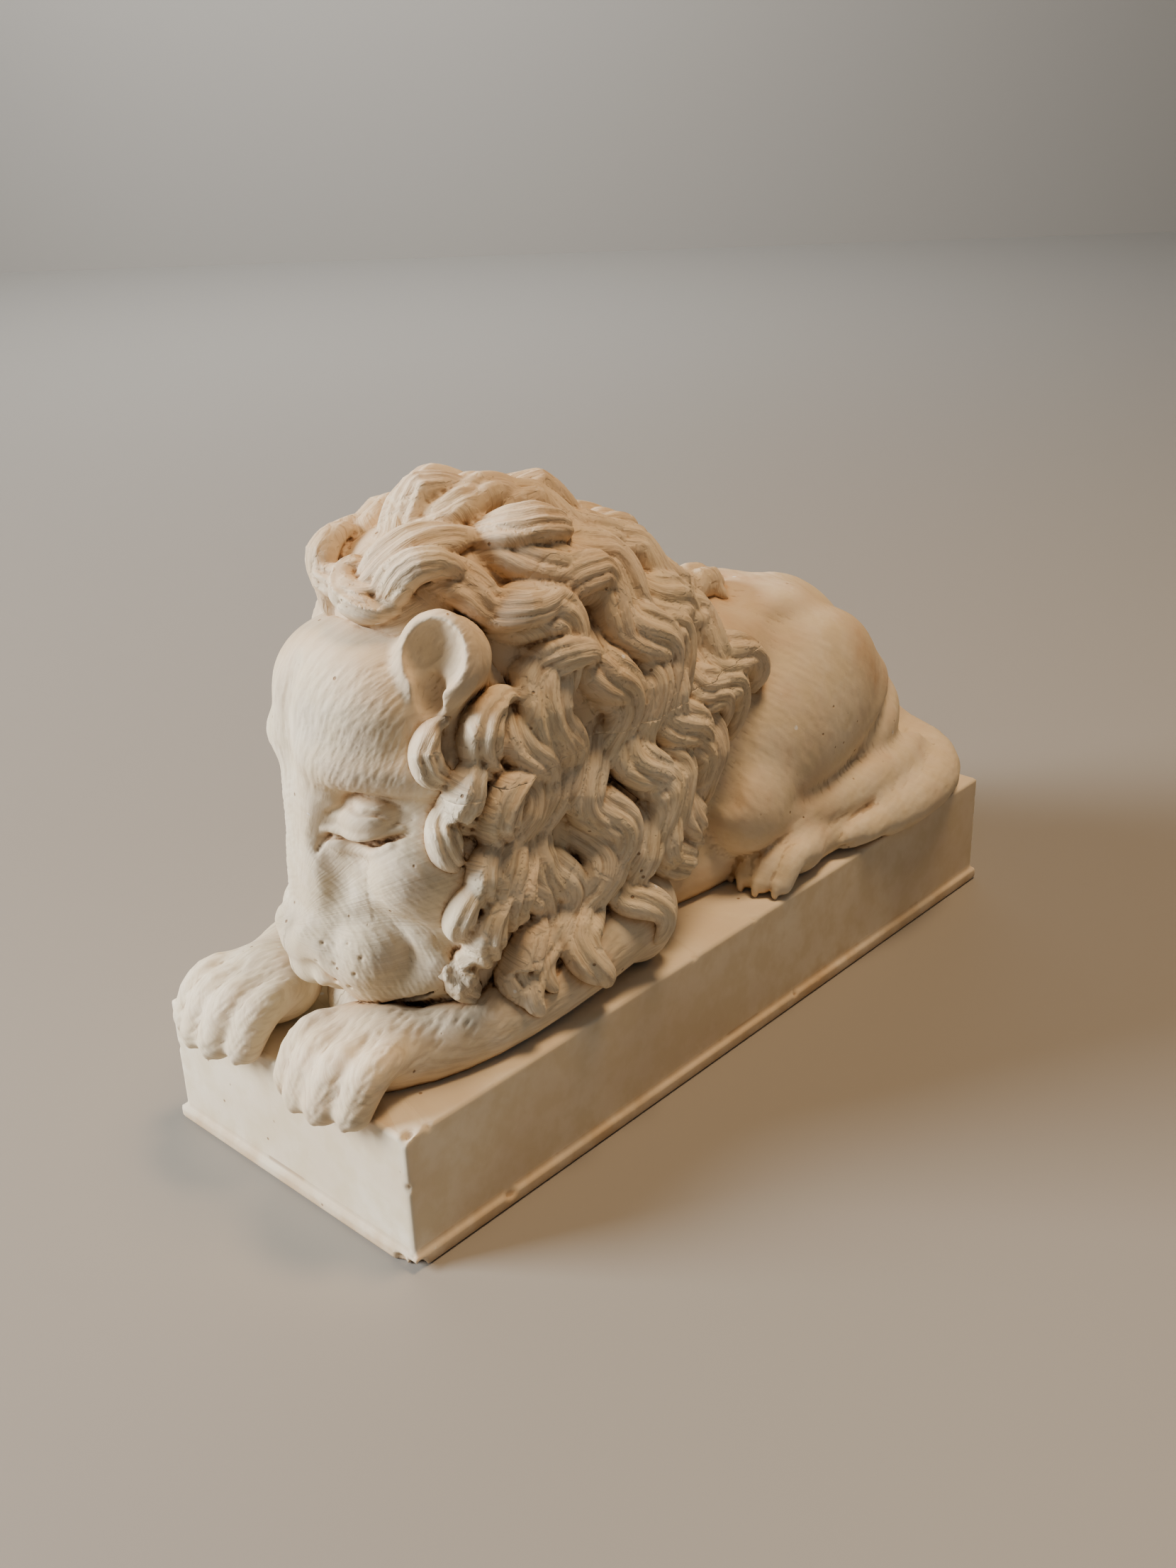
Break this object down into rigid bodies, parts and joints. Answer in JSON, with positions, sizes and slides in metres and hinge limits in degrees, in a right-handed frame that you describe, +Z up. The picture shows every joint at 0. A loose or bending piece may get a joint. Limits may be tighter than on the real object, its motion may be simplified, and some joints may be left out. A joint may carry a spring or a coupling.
{
  "type": "sleeping lion statue",
  "caption": "Sleeping lion lying on a rectangular plinth with a small base lip, cast in aged cream plaster as one piece.",
  "frame": {"origin": "middle of the plinth's underside, on the table", "axes": "+Z up; the lion faces -Y and its own left flank is at +X"},
  "size_m": [0.1224, 0.3111, 0.2029],
  "materials": {
    "plaster": "dry matt cast plaster, cream, with a tan and brown patina"
  },
  "bodies": {
    "root": {"lion_statue": "plaster"}
  },
  "joints": []
}
